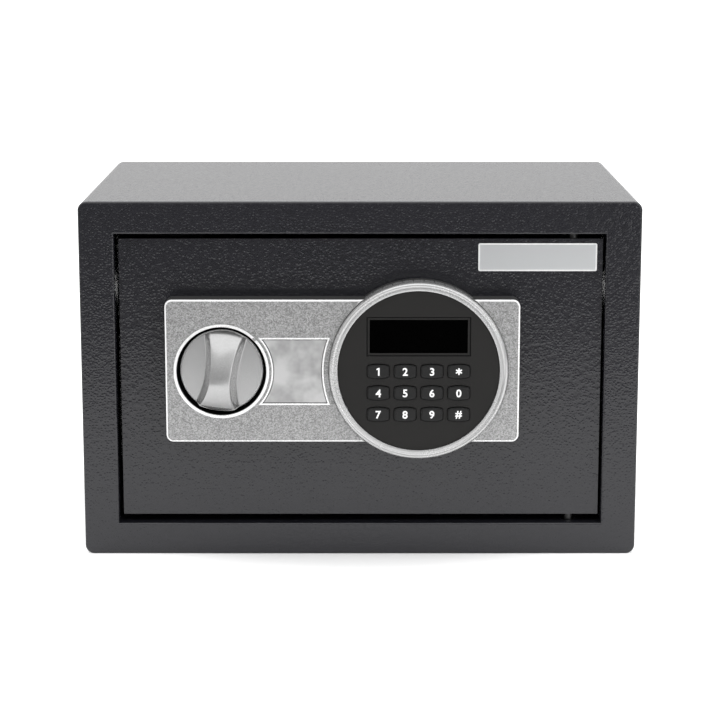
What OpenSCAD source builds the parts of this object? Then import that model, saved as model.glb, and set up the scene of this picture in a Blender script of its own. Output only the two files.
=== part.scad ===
// Small electronic safe: a welded steel cabinet, a hinged door with a keypad,
// a turning knob that throws two locking bolts, and an emergency key lock.
// +X is right, +Y runs from the door to the rear, +Z is up. The origin is the
// centre of the cabinet's underside.

/* [Cabinet] */
// Overall width of the cabinet
cabinet_w = 310; // [306:1:340]
// Overall height of the cabinet
cabinet_h = 200; // [198:1:230]
// Depth of the steel cabinet, without the door controls
cabinet_d = 200; // [180:1:300]
// Sheet thickness of the wrapped shell and of the rear panel
shell_t = 1.5; // [1:0.1:2]
// Outside radius of the four long edges
corner_r = 5; // [5:0.5:9]

/* [Front frame] */
// Width of the frame face at the left and right
face_side = 19.5; // [18:0.5:21]
// Width of the frame face at the top and bottom
face_top = 18; // [17:0.5:20]
// Sheet thickness of the frame
frame_t = 2; // [1.5:0.5:2.5]
// Depth of the jamb that the face is folded back into
jamb_d = 17; // [16.5:0.5:17]

/* [Door] */
// Thickness of the door plate
plate_t = 3; // [2.5:0.5:3]
// How far the door's face lies behind the frame's face
door_recess = 4; // [3:0.5:4.5]
// Gap between the door and the left jamb
gap_left = 2.2; // [1.5:0.1:3]
// Gap between the door and the right jamb
gap_right = 1.4; // [1.4:0.1:2]
// Gap above the door
gap_top = 3; // [2:0.1:4]
// Gap below the door
gap_bottom = 4.2; // [3:0.1:5]
// Depth of the welded casing behind the plate
casing_d = 30; // [30:0.5:32]
// Sheet thickness of the casing
casing_t = 1.5; // [1:0.1:2]

/* [Control panel] */
// Width of the silver panel
panel_w = 195.5; // [194:0.5:199]
// Height of the silver panel
panel_h = 80; // [76:1:84]
// How far the panel stands out from the door
panel_d = 13; // [12.5:0.5:14]
// Outside radius of the keypad ring
ring_r = 49.5; // [49:0.25:50]
// How far the keypad ring stands out from the door
ring_d = 16.5; // [16:0.5:17]
// Radius of the knob's disc
knob_r = 23; // [22:0.5:23.5]
// How far the crest of the knob's grip stands out from the door
knob_crest = 21.5; // [20:0.5:23]
// Lean of the grip at rest, clockwise from upright
knob_lean = 7; // [0:1:15]

/* [Bolt work] */
// Radius of each locking bolt
bolt_r = 7; // [6:0.5:7]
// How far the knob throws the bolts
bolt_throw = 14; // [12:0.5:14]
// Half the distance between the two locking bolts
bolt_spread = 30; // [28:1:30]

/* [Fixing holes] */
// Radius of the anchor holes in the base and the rear
anchor_r = 6; // [4:0.5:7]
// Distance between the two anchor holes of a pair
anchor_pitch = 200; // [150:5:220]

/* [Hidden] */
$fn = 64;

// Cabinet and frame
front_y = -cabinet_d / 2;
rear_y = cabinet_d / 2;
open_x = cabinet_w / 2 - face_side;      // half width of the door opening
open_z0 = face_top;
open_z1 = cabinet_h - face_top;
jamb_y = front_y + jamb_d;
weld_gap = 0.1;                          // room for the weld between sheets
rear_inset = 1;
rear_lip = 8;

// Door
door_x0 = -open_x + gap_left;
door_x1 = open_x - gap_right;
door_z0 = open_z0 + gap_bottom;
door_z1 = open_z1 - gap_top;
face_y = front_y + door_recess;          // front of the door plate
plate_y = face_y + plate_t;              // rear of the door plate
casing_y = plate_y + casing_d;           // rear of the casing
cover_t = 1.2;
cover_y = casing_y + cover_t;            // rear of the back cover
casing_x0 = door_x0 + 4.8;
casing_x1 = door_x1 - 6.1;
casing_z0 = door_z0 + 3.8;
casing_z1 = door_z1 - 3.5;

// Hinge
hinge_x = open_x - 17.5;
hinge_y = face_y + 6;
pin_r = 2.5;
journal_r = 2;
journal_gap = 0.05;
bush_r = 3.5;

// Centres of the controls, all on one level line
mid_z = (door_z0 + door_z1) / 2 + 6.4;
knob_x = door_x0 + 56.8;
panel_x = knob_x + 66.8;
keypad_x = knob_x + 108.8;
keypad_z = mid_z + 0.5;
lock_x = knob_x + 42.2;

// Control panel
panel_r = 4;
wall_t = 2;
knob_well_r = 24.8;
knob_face = 9.5;                         // how far the knob's disc stands out
well_floor = 3;
seat_d = panel_d - 2.2;                  // seat of the keypad ring in the housing
ring_gap = 0.3;                          // groove between the panel's face and the ring
spigot_r = 46;                           // the ring's spigot in the housing
blend_r = 3;                             // fillet where the round part meets the straight edge
pad_h = 17.7;                            // half height of the key-lock cover
pad_knob_r = 29;                         // the cover's left edge follows the knob well
pad_ring_r = 53.6;                       // and its right edge follows the keypad ring
pad_bed = panel_d - 2.6;
face_disc_r = 44.6;
face_front = ring_d - 1.9;               // how far the black keypad face stands out
face_rear = face_front - 2.5;
key_travel = 1.2;
key_rear = face_rear - 1.3;
key_pitch_x = 14.8;
key_pitch_z = 12.1;
key_row_z = -0.2;                        // first row of keys, from the middle of the keypad
window_z = 19.2;
window_w = 54;
window_h = 18.6;
post_x = 38.5;                           // posts of the keypad ring that hold the board
post_z = 14;
post_screw_r = 1.2;
clip_z = 14.5;                           // clips of the key-lock cover
board_rear = 2.5;
board_front = 4.1;

// Bolt work
bolt_y = jamb_y + 1.5 + bolt_r;
bolt_tip_x = casing_x0 - 1;
throw_plate_y = plate_y + 7;             // front of the sliding bolt plate
throw_plate_t = 2;
flange_x = knob_x - 23.5;                // left face of the bolt plate's flange
crank_r = bolt_throw / 2 / sin(45);      // the pin swings 45 degrees each side of upright
crank_pin_r = 2.5;
crank_slack = 0.5;
crank_y0 = plate_y + 1.5;
crank_y1 = plate_y + 4.5;
stud_xs = [knob_x - 13.5, knob_x + 24.5];
stud_zs = [mid_z - 31, mid_z + 33];
arm_lo_z = mid_z - 43;
arm_hi_z = mid_z + 43;

// Solenoid
solenoid_y = plate_y + 8.5;
solenoid_z = mid_z - 76;                 // underside of its yoke
plunger_r = 3;
plunger_top = arm_lo_z - 0.6;

// Batteries
battery_r = 7.25;
battery_l = 50;
battery_x = keypad_x + 31.5;
battery_z = mid_z - 35;
battery_pitch = 15.2;
battery_y = casing_y - 8.5;
tray_w = 59;
tray_h = 65;
tray_d = 18;

// Reset switch
reset_x = hinge_x - 6;
reset_z = mid_z + 18;

// Colours
charcoal = [0.20, 0.20, 0.21];
silver = [0.70, 0.70, 0.71];
steel = [0.62, 0.63, 0.65];
black = [0.08, 0.08, 0.08];
copper = [0.65, 0.36, 0.20];
brass = [0.72, 0.58, 0.28];

// ---- shared shapes ----

// Plate standing in the XZ plane between two depths
module slab(y0, y1) {
    translate([0, y1, 0]) rotate([90, 0, 0]) linear_extrude(y1 - y0) children();
}

// Plate standing out from the door's face, from distance d0 to distance d1
module proud(d0, d1) {
    slab(face_y - d1, face_y - d0) children();
}

// Round bars along each axis
module bar_x(y, z, r, x0, x1) {
    translate([x0, y, z]) rotate([0, 90, 0]) cylinder(r = r, h = x1 - x0);
}
module bar_y(x, z, r, y0, y1) {
    translate([x, y1, z]) rotate([90, 0, 0]) cylinder(r = r, h = y1 - y0);
}
module bar_z(x, y, r, z0, z1) {
    translate([x, y, z0]) cylinder(r = r, h = z1 - z0);
}

// Block given by its two corners
module block(low, high) {
    translate(low) cube(high - low);
}

// Body turned about a line along Y; the profile is [radius, distance out from the door]
module turned(x, z, profile) {
    translate([x, face_y, z]) rotate([90, 0, 0]) rotate_extrude() polygon(profile);
}

// Rectangle with true round corners, centred
module round_rect(w, h, r) {
    square([w - 2 * r, h], center = true);
    square([w, h - 2 * r], center = true);
    for (x = [-1, 1], z = [-1, 1])
        translate([x * (w / 2 - r), z * (h / 2 - r)]) circle(r);
}

// Outline of the cabinet, taken in by a distance
module cabinet_outline(inset) {
    translate([0, cabinet_h / 2])
        round_rect(cabinet_w - 2 * inset, cabinet_h - 2 * inset, corner_r - inset);
}

// Outline of the door opening, let out by a distance
module opening_outline(out) {
    translate([-open_x - out, open_z0 - out])
        square([2 * (open_x + out), open_z1 - open_z0 + 2 * out]);
}

// Outline of the door casing, taken in by a distance
module casing_outline(inset) {
    translate([casing_x0 + inset, casing_z0 + inset])
        square([casing_x1 - casing_x0 - 2 * inset, casing_z1 - casing_z0 - 2 * inset]);
}

// Waisted outline of the key-lock cover, let out by a distance
module pad_outline(out) {
    difference() {
        translate([knob_x, mid_z - pad_h - out])
            square([keypad_x - knob_x, 2 * (pad_h + out)]);
        translate([knob_x, mid_z]) circle(pad_knob_r - out);
        translate([keypad_x, mid_z]) circle(pad_ring_r - out);
    }
}

// Barrel-shaped outline of a key, with bowed top and bottom edges
module key_outline(w, h, r) {
    bow_r = 21;
    intersection() {
        round_rect(w, h, r);
        translate([0, h / 2 - bow_r]) circle(bow_r);
        translate([0, bow_r - h / 2]) circle(bow_r);
    }
}

// Smooth route through way points, for the wires
function spline(a, b, c, d, t) =
    0.5 * (2 * b + (c - a) * t + (2 * a - 5 * b + 4 * c - d) * t * t
    + (3 * b - a - 3 * c + d) * t * t * t);
function smooth_route(p, steps) = [
    for (i = [0 : len(p) - 2]) for (s = [0 : steps - 1])
        spline(p[max(i - 1, 0)], p[i], p[i + 1], p[min(i + 2, len(p) - 1)], s / steps),
    p[len(p) - 1]
];
function unit(v) = v / norm(v);
function heading(p, i) = unit(p[min(i + 1, len(p) - 1)] - p[max(i - 1, 0)]);

// Wire of radius r along a route; side is any direction that the route never takes
module wire(way, r, side) {
    sides = 8;
    p = smooth_route(way, 4);
    n = len(p);
    ring = [
        for (i = [0 : n - 1]) let (t = heading(p, i), u = unit(cross(t, side)), v = cross(u, t))
            for (k = [0 : sides - 1]) p[i] + r * (cos(360 * k / sides) * u + sin(360 * k / sides) * v)
    ];
    walls = [
        for (i = [0 : n - 2]) for (k = [0 : sides - 1])
            let (a = i * sides + k, b = i * sides + (k + 1) % sides)
            each [[a, b, b + sides], [a, b + sides, a + sides]]
    ];
    near_end = [for (k = [sides - 1 : -1 : 0]) k];
    far_end = [for (k = [0 : sides - 1]) (n - 1) * sides + k];
    polyhedron(ring, concat([near_end, far_end], walls));
}

// ---- cabinet ----

module cabinet_shell() {
    color(charcoal) difference() {
        slab(front_y + frame_t, rear_y) difference() {
            cabinet_outline(0);
            cabinet_outline(shell_t);
        }
        for (x = [-1, 1]) bar_z(x * anchor_pitch / 2, 0, anchor_r, -1, shell_t + 1);
    }
}

module front_frame() {
    lip_out = shell_t + weld_gap;
    lip_d = 10;
    color(charcoal) difference() {
        union() {
            slab(front_y, front_y + frame_t) difference() {
                cabinet_outline(0);
                opening_outline(0);
            }
            slab(front_y + frame_t, jamb_y) difference() {
                opening_outline(frame_t);
                opening_outline(0);
            }
            slab(front_y + frame_t, front_y + lip_d) difference() {
                cabinet_outline(lip_out);
                cabinet_outline(lip_out + shell_t);
            }
        }
        bar_z(hinge_x, hinge_y, bush_r, open_z0 - frame_t - 1, open_z0 + 1);
        bar_z(hinge_x, hinge_y, bush_r, open_z1 - 1, open_z1 + frame_t + 1);
    }
}

module rear_panel() {
    out = shell_t + weld_gap;
    panel_rear = rear_y - rear_inset;
    color(charcoal) difference() {
        slab(panel_rear - rear_lip, panel_rear) cabinet_outline(out);
        slab(panel_rear - rear_lip - 1, panel_rear - shell_t) cabinet_outline(out + shell_t);
        for (x = [-1, 1])
            bar_y(x * anchor_pitch / 2, cabinet_h * 0.6, anchor_r, panel_rear - shell_t - 1, panel_rear + 1);
    }
}

// Flanged bush below a jamb
module hinge_bush() {
    color(brass) difference() {
        union() {
            translate([0, 0, -frame_t]) cylinder(r = bush_r, h = frame_t);
            translate([0, 0, -frame_t - 1.5]) cylinder(r = 6, h = 1.5);
        }
        translate([0, 0, -frame_t - 2]) cylinder(r = journal_r + journal_gap, h = frame_t + 3);
    }
}
module hinge_bush_lower() {
    translate([hinge_x, hinge_y, open_z0]) hinge_bush();
}
module hinge_bush_upper() {
    translate([hinge_x, hinge_y, open_z1]) mirror([0, 0, 1]) hinge_bush();
}

module floor_mat() {
    mat_t = 2.5;
    edge = cabinet_w / 2 - corner_r - 1;
    color([0.16, 0.16, 0.17]) difference() {
        block([-edge, front_y + 14, shell_t], [edge, rear_y - rear_inset - rear_lip - 2, shell_t + mat_t]);
        for (x = [-1, 1]) bar_z(x * anchor_pitch / 2, 0, anchor_r + 2, 0, shell_t + mat_t + 1);
    }
}

// ---- door ----

panel_screw_xs = [panel_x - panel_w / 2 + 7, panel_x + panel_w / 2 - 7];
panel_screw_zs = [mid_z - panel_h / 2 + 7, mid_z + panel_h / 2 - 7];
cover_screw_xs = [casing_x0 + 8, casing_x1 - 8];
cover_screw_zs = [casing_z0 + 8, casing_z1 - 8];

module door_plate() {
    color(charcoal) difference() {
        block([door_x0, face_y, door_z0], [door_x1, plate_y, door_z1]);
        bar_y(knob_x, mid_z, 6, face_y - 1, plate_y + 1);
        bar_y(lock_x, mid_z, 9, face_y - 1, plate_y + 1);
        bar_y(keypad_x, mid_z, 6, face_y - 1, plate_y + 1);
        for (x = panel_screw_xs, z = panel_screw_zs) bar_y(x, z, 1.8, face_y - 1, plate_y + 1);
    }
}

module door_casing() {
    tab = 14;
    bracket_z = 10;
    color(charcoal) difference() {
        union() {
            slab(plate_y, casing_y) difference() {
                casing_outline(0);
                casing_outline(casing_t);
            }
            slab(casing_y - casing_t, casing_y) intersection() {
                casing_outline(casing_t / 2);
                for (x = [casing_x0, casing_x1], z = [casing_z0, casing_z1])
                    translate([x, z]) square(2 * tab, center = true);
            }
            for (z = [casing_z0 + bracket_z, casing_z1 - bracket_z - casing_t])
                block([hinge_x - 8, plate_y, z], [casing_x1 - casing_t / 2, plate_y + 14, z + casing_t]);
        }
        for (z = [-1, 1])
            bar_x(bolt_y, mid_z + z * bolt_spread, bolt_r + 0.3, casing_x0 - 1, casing_x0 + casing_t + 1);
        bar_z(hinge_x, hinge_y, pin_r, casing_z0 - 1, casing_z1 + 1);
        for (x = cover_screw_xs, z = cover_screw_zs) bar_y(x, z, 1.5, casing_y - casing_t - 1, casing_y + 1);
    }
}

module door_back_cover() {
    color(charcoal) difference() {
        slab(casing_y, cover_y) casing_outline(0);
        slab(casing_y - 1, cover_y + 1) translate([battery_x, battery_z])
            square([tray_w, tray_h], center = true);
        bar_y(reset_x, reset_z, 3.3, casing_y - 1, cover_y + 1);
        for (x = cover_screw_xs, z = cover_screw_zs) bar_y(x, z, 1.7, casing_y - 1, cover_y + 1);
    }
}

module cover_screws() {
    color(steel) for (x = cover_screw_xs, z = cover_screw_zs) difference() {
        union() {
            bar_y(x, z, 1.5, casing_y - 6, cover_y);
            bar_y(x, z, 3.2, cover_y, cover_y + 1.8);
        }
        for (turn = [0, 90])
            translate([x, cover_y + 1.8, z]) rotate([0, turn, 0]) cube([4, 2, 0.8], center = true);
    }
}

module hinge_pin_lower() {
    color(steel) union() {
        bar_z(hinge_x, hinge_y, journal_r, open_z0 - 7, open_z0 + 0.2);
        bar_z(hinge_x, hinge_y, pin_r, open_z0 + 0.1, casing_z0 + 14);
    }
}
module hinge_pin_upper() {
    color(steel) union() {
        bar_z(hinge_x, hinge_y, pin_r, casing_z1 - 14, open_z1 - 0.1);
        bar_z(hinge_x, hinge_y, journal_r, open_z1 - 0.2, open_z1 + 7);
    }
}

module door_label() {
    color([0.85, 0.86, 0.87]) proud(0, 0.3) translate([door_x1 - 36, door_z1 - 10.3])
        round_rect(65.5, 15.5, 1);
}

// ---- control panel ----

// Outline of the housing: a long rectangle with a round part behind the keypad ring
module housing_outline(inset) {
    half = panel_h / 2;
    rise = keypad_z - mid_z;
    translate([panel_x, mid_z])
        round_rect(panel_w - 2 * inset, panel_h - 2 * inset, panel_r - inset);
    translate([keypad_x, keypad_z]) circle(ring_r - inset);
    // fillets between the round part and the straight edges; they bite in a little, so that
    // their arcs cross the outline instead of just touching it
    bite = 0.15;
    reach = ring_r + blend_r - bite;
    if (inset == 0) for (x = [-1, 1], z = [-1, 1]) {
        lift = half + blend_r - bite - z * rise;
        run = sqrt(reach * reach - lift * lift);
        foot = (ring_r - 1) / reach;
        translate([keypad_x, keypad_z]) difference() {
            polygon([
                [x * run, z * (lift - blend_r - 1)], [x * run, z * lift],
                [x * run * foot, z * lift * foot], [x * run * foot, z * (lift - blend_r - 1)]
            ]);
            translate([x * run, z * lift]) circle(blend_r);
        }
    }
}

module panel_housing() {
    bead = 0.5;
    sockets = [5.6, 6, 2.2];
    color(silver) difference() {
        union() {
            // hollow tray, open towards the door
            proud(0, panel_d) difference() {
                housing_outline(0);
                housing_outline(wall_t);
            }
            proud(panel_d - wall_t - 2.5, panel_d) housing_outline(wall_t / 2);
            // knob well with a rounded lip
            turned(knob_x, mid_z, [
                [0, 1.5], [knob_well_r + wall_t, 1.5], [knob_well_r + wall_t, panel_d - 1],
                [knob_well_r + 1.6, panel_d + bead], [0, panel_d + bead]
            ]);
            // bed and bead of the key-lock cover
            proud(pad_bed - 1.9, panel_d + bead) pad_outline(1.2);
            // screw bosses
            for (x = panel_screw_xs, z = panel_screw_zs) bar_y(x, z, 4, face_y - panel_d + 1, face_y);
        }
        turned(knob_x, mid_z, [
            [0, well_floor], [knob_well_r, well_floor], [knob_well_r, panel_d], [knob_well_r + 0.6, panel_d + 1],
            [0, panel_d + 1]
        ]);
        proud(pad_bed, panel_d + 1) pad_outline(0.3);
        bar_y(knob_x, mid_z, 6.5, face_y - well_floor - 1, face_y + 1);
        bar_y(lock_x, mid_z, 9.6, face_y - panel_d - 1, face_y + 1);
        bar_y(keypad_x, keypad_z, spigot_r + 0.2, face_y - panel_d - 1, face_y + 1);
        bar_y(keypad_x, keypad_z, ring_r + ring_gap, face_y - panel_d - 1, face_y - seat_d);
        for (x = panel_screw_xs, z = panel_screw_zs) bar_y(x, z, 1.5, face_y - 8, face_y + 1);
        // sockets for the legs of the key-lock cover
        for (z = [-1, 1]) translate([lock_x, face_y - pad_bed, mid_z + clip_z * z]) cube(sockets, center = true);
    }
}

module panel_screws() {
    color(steel) for (x = panel_screw_xs, z = panel_screw_zs) union() {
        bar_y(x, z, 1.5, face_y - 7.5, plate_y + 0.1);
        bar_y(x, z, 3, plate_y, plate_y + 2.2);
    }
}

module keypad_ring() {
    ledge_r = 42.5;
    color(silver) union() {
        turned(keypad_x, keypad_z, [
            [ledge_r + 1.5, 4.5], [spigot_r, 4.5], [spigot_r, seat_d], [ring_r, seat_d], [ring_r, ring_d - 2.2],
            [ring_r - 0.5, ring_d - 0.9], [ring_r - 1.3, ring_d - 0.15], [ring_r - 2, ring_d],
            [ring_r - 2.8, ring_d - 0.5], [face_disc_r + 0.1, ring_d - 0.8], [face_disc_r + 0.1, face_rear],
            [ledge_r, face_rear], [ledge_r, face_rear - 2], [ledge_r + 1.5, face_rear - 2]
        ]);
        // posts that hold the control board
        for (x = [-1, 1], z = [-1, 1])
            bar_y(keypad_x + post_x * x, keypad_z + post_z * z, 3, face_y - face_rear + 1, face_y - board_front);
    }
}

// Runs its children once for each key: row 0 is the top row, column 0 the left one
module at_key(row, column) {
    translate([keypad_x + (column - 1.5) * key_pitch_x, keypad_z + key_row_z - row * key_pitch_z]) children();
}

module keypad_face() {
    color(black) difference() {
        bar_y(keypad_x, keypad_z, face_disc_r, face_y - face_front, face_y - face_rear);
        proud(face_rear - 1, face_front + 1) translate([keypad_x, keypad_z + window_z])
            square([window_w, window_h], center = true);
        proud(face_front - 0.7, face_front + 1) translate([keypad_x, keypad_z + window_z])
            square([window_w + 2.2, window_h + 2.2], center = true);
        for (row = [0 : 2], column = [0 : 3])
            proud(face_rear - 1, face_front + 1) at_key(row, column) key_outline(12.8, 8.6, 2.4);
    }
}

module display_window() {
    color([0.02, 0.02, 0.02]) proud(face_rear, face_rear + 1.3) translate([keypad_x, keypad_z + window_z])
        square([window_w, window_h], center = true);
}

module display_module() {
    color([0.15, 0.18, 0.15]) union() {
        proud(board_front, 8.5) translate([keypad_x, keypad_z + window_z]) square([58, 20], center = true);
        proud(8.5, face_rear - 0.1) translate([keypad_x, keypad_z + window_z]) square([50, 16], center = true);
    }
}

module keypad_mat() {
    color([0.3, 0.3, 0.3]) union() {
        proud(board_front, board_front + 1.2) translate([keypad_x, keypad_z + key_row_z - key_pitch_z])
            round_rect(4 * key_pitch_x, 3 * key_pitch_z, 3);
        for (row = [0 : 2], column = [0 : 3])
            proud(board_front + 1, key_rear - key_travel - 0.2) at_key(row, column) circle(3.2);
    }
}

module control_board() {
    color([0.05, 0.25, 0.12]) difference() {
        bar_y(keypad_x, keypad_z, 43, face_y - board_front, face_y - board_rear);
        for (x = [-1, 1], z = [-1, 1])
            bar_y(keypad_x + post_x * x, keypad_z + post_z * z, post_screw_r, face_y - board_front - 1, face_y - board_rear + 1);
    }
}

module buzzer() {
    color(black) difference() {
        bar_y(keypad_x, keypad_z - 37, 4.6, face_y - 8, face_y - board_front);
        bar_y(keypad_x, keypad_z - 37, 1, face_y - 9, face_y - 7);
    }
}

// A key cap with a rear flange that keeps it in the keypad face
module key(row, column) {
    color(black) union() {
        proud(face_rear - 0.4, face_front + 0.8) at_key(row, column) key_outline(12, 7.8, 2.1);
        proud(face_front + 0.7, face_front + 1.3) at_key(row, column) key_outline(11.2, 7, 1.8);
        proud(key_rear, face_rear - 0.3) at_key(row, column) round_rect(13.8, 9.4, 2);
    }
}

// ---- knob and bolt work ----

module knob() {
    arch_r = 26;
    waist = 6;
    side_r = 70;
    color(silver) difference() {
        union() {
            turned(knob_x, mid_z, [
                [0, well_floor + 0.6], [knob_r - 0.6, well_floor + 0.6], [knob_r, well_floor + 1.2],
                [knob_r, knob_face - 1], [knob_r - 1, knob_face], [0, knob_face]
            ]);
            // arched grip with waisted sides
            intersection() {
                proud(knob_face - 1, knob_crest + 1) translate([knob_x, mid_z]) rotate(-knob_lean)
                    intersection() {
                        circle(knob_r - 0.3);
                        difference() {
                            square([19, 2 * knob_r], center = true);
                            for (x = [-1, 1]) translate([x * (waist + side_r), 0]) circle(side_r, $fn = 256);
                        }
                    }
                translate([knob_x, 0, mid_z]) rotate([0, knob_lean, 0]) translate([-knob_x, 0, -mid_z])
                    bar_x(face_y - knob_crest + arch_r, mid_z, arch_r, knob_x - 12, knob_x + 12);
            }
        }
        bar_y(knob_x, mid_z, 4, face_y - knob_face - 3, face_y);
    }
}

module knob_spindle() {
    color(steel) bar_y(knob_x, mid_z, 4, face_y - knob_face - 3, crank_y1);
}

module spindle_bush() {
    color(brass) difference() {
        union() {
            bar_y(knob_x, mid_z, 6, face_y - 0.1, plate_y + 0.8);
            bar_y(knob_x, mid_z, 8.5, face_y - 1.3, face_y);
        }
        bar_y(knob_x, mid_z, 4.05, face_y - 2, plate_y + 2);
    }
}

// The crank pin stands up and to the right at rest, with the bolts drawn back
module drive_crank() {
    pin_x = knob_x + crank_r * sin(45);
    pin_z = mid_z + crank_r * cos(45);
    color(steel) difference() {
        union() {
            slab(crank_y0, crank_y1) union() {
                translate([knob_x, mid_z]) circle(7);
                translate([knob_x, mid_z]) rotate(-45) translate([-4, 0]) square([8, crank_r]);
                translate([pin_x, pin_z]) circle(4);
            }
            bar_y(pin_x, pin_z, crank_pin_r, crank_y1 - 0.1, throw_plate_y + throw_plate_t + 2);
        }
        bar_y(knob_x, mid_z, 4, crank_y0 - 1, crank_y1 + 1);
    }
}

// Slot along X that lets a guide stud at x pass while the plate slides left
module stud_slot(x, z) {
    half = 2.7;
    translate([x, z - half]) square([bolt_throw, 2 * half]);
    for (end = [0, bolt_throw]) translate([x + end, z]) circle(half);
}

module bolt_plate() {
    column_x = knob_x + 18.5;
    lower_x = lock_x + bolt_throw + 10;
    upper_x = lock_x + 12;
    arm_w = 20;
    slot_x = knob_x + crank_r * sin(45);
    rear = throw_plate_y + throw_plate_t;
    color(steel) difference() {
        union() {
            slab(throw_plate_y, rear) difference() {
                union() {
                    translate([flange_x, arm_lo_z]) square([column_x - flange_x, arm_hi_z - arm_lo_z]);
                    translate([flange_x, arm_lo_z]) square([lower_x - flange_x, arm_w]);
                    translate([flange_x, arm_hi_z - arm_w]) square([upper_x - flange_x, arm_w]);
                }
                for (x = stud_xs, z = stud_zs) stud_slot(x, z);
                // upright slot for the crank pin
                translate([slot_x - crank_pin_r - crank_slack, mid_z + crank_r * cos(45) - 4])
                    square([2 * (crank_pin_r + crank_slack), crank_r * (1 - cos(45)) + 8]);
                // notches for the solenoid plunger, one at each end of the travel
                for (shift = [0, bolt_throw])
                    translate([lock_x + shift - plunger_r - 0.5, arm_lo_z - 1]) square([2 * plunger_r + 1, 6]);
            }
            block([flange_x, throw_plate_y, arm_lo_z], [flange_x + throw_plate_t, bolt_y + bolt_r + 2, arm_hi_z]);
        }
        for (z = [-1, 1])
            bar_x(bolt_y, mid_z + z * bolt_spread, 4, flange_x - 1, flange_x + throw_plate_t + 1);
    }
}

// Locking bolt with a chamfered nose, riveted through the plate's flange
module locking_bolt(z) {
    nose = 1;
    color(steel) union() {
        bar_x(bolt_y, z, bolt_r, bolt_tip_x + nose, flange_x);
        translate([bolt_tip_x + nose, bolt_y, z]) rotate([0, -90, 0]) cylinder(r1 = bolt_r, r2 = bolt_r - nose, h = nose);
        bar_x(bolt_y, z, 4, flange_x - 0.1, flange_x + throw_plate_t + 0.1);
        bar_x(bolt_y, z, 5.5, flange_x + throw_plate_t, flange_x + throw_plate_t + 1.5);
    }
}
module locking_bolt_upper() {
    locking_bolt(mid_z + bolt_spread);
}
module locking_bolt_lower() {
    locking_bolt(mid_z - bolt_spread);
}

module guide_studs() {
    color(steel) for (x = stud_xs, z = stud_zs) union() {
        bar_y(x, z, 4, plate_y, throw_plate_y - 0.2);
        bar_y(x, z, 2.4, throw_plate_y - 0.3, throw_plate_y + throw_plate_t + 2.5);
    }
}

module guide_washers() {
    rear = throw_plate_y + throw_plate_t;
    color(steel) for (x = stud_xs, z = stud_zs) difference() {
        bar_y(x, z, 5.5, rear + 0.2, rear + 1.2);
        bar_y(x, z, 2.4, rear - 1, rear + 2);
    }
}

// ---- solenoid and emergency lock ----

yoke_t = 1.2;
yoke_h = 19;

module solenoid_frame() {
    color(steel) difference() {
        union() {
            block([lock_x - 10, plate_y, solenoid_z], [lock_x + 10, plate_y + yoke_t, solenoid_z + yoke_h]);
            for (z = [solenoid_z, solenoid_z + yoke_h - yoke_t])
                block([lock_x - 9, plate_y + yoke_t / 2, z], [lock_x + 9, plate_y + 16, z + yoke_t]);
        }
        bar_z(lock_x, solenoid_y, plunger_r + 0.2, solenoid_z + yoke_h - yoke_t - 1, solenoid_z + yoke_h + 1);
    }
}

module solenoid_coil() {
    height = yoke_h - 2 * yoke_t;
    rim = 1;
    color(copper) translate([lock_x, solenoid_y, solenoid_z + yoke_t]) rotate_extrude() polygon([
        [plunger_r + 0.2, 0], [7, 0], [7, rim], [6.3, rim], [6.3, height - rim], [7, height - rim], [7, height],
        [plunger_r + 0.2, height]
    ]);
}

collar_z = solenoid_z + yoke_h + 6.5;

module solenoid_spring() {
    coils = 4;
    wire_r = 0.45;
    pitch = (collar_z - solenoid_z - yoke_h - 0.2 - 2 * wire_r) / (coils - 1);
    color(steel) for (i = [0 : coils - 1])
        translate([lock_x, solenoid_y, solenoid_z + yoke_h + 0.1 + wire_r + i * pitch]) rotate_extrude()
            translate([4.1, 0]) circle(wire_r, $fn = 24);
}

module solenoid_plunger() {
    color(steel) union() {
        bar_z(lock_x, solenoid_y, plunger_r, solenoid_z + 5, plunger_top);
        bar_z(lock_x, solenoid_y, 5, collar_z, collar_z + 1.5);
    }
}

link_z = collar_z + 1.5;
link_top = mid_z - 17.7;

module release_link() {
    link_t = 1.2;
    half = 4;
    front = plate_y + 2.5;
    color(steel) difference() {
        union() {
            block([lock_x - half, front, link_z], [lock_x + half, solenoid_y + 5, link_z + link_t]);
            block([lock_x - half, front, link_z], [lock_x + half, front + link_t, link_top]);
            block([lock_x - half, front, link_top - link_t], [lock_x + half, plate_y + 15.5, link_top]);
        }
        bar_z(lock_x, solenoid_y, plunger_r, link_z - 1, link_z + link_t + 1);
    }
}

lock_front = 8.2;                        // how far the lock barrel stands out, under its cover
lock_rear_y = plate_y + 13;
plug_r = 4.5;

module override_lock_body() {
    color(steel) difference() {
        union() {
            bar_y(lock_x, mid_z, 9, face_y - lock_front, lock_rear_y);
            bar_y(lock_x, mid_z, 12, face_y - 1.5, face_y);
        }
        bar_y(lock_x, mid_z, plug_r + 0.05, face_y - lock_front - 1, lock_rear_y + 1);
    }
}

module override_lock_nut() {
    color(steel) difference() {
        translate([lock_x, plate_y + 3.5, mid_z]) rotate([90, 0, 0]) cylinder(r = 12.7, h = 3.5, $fn = 6);
        bar_y(lock_x, mid_z, 9, plate_y - 1, plate_y + 5);
    }
}

// Plug with the ring-shaped keyway of a tubular key
module override_plug() {
    color(brass) difference() {
        bar_y(lock_x, mid_z, plug_r, face_y - lock_front, lock_rear_y + 0.3);
        difference() {
            bar_y(lock_x, mid_z, 3.9, face_y - lock_front - 1, face_y - lock_front + 6);
            bar_y(lock_x, mid_z, 2.5, face_y - lock_front - 2, face_y - lock_front + 7);
        }
    }
}

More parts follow.
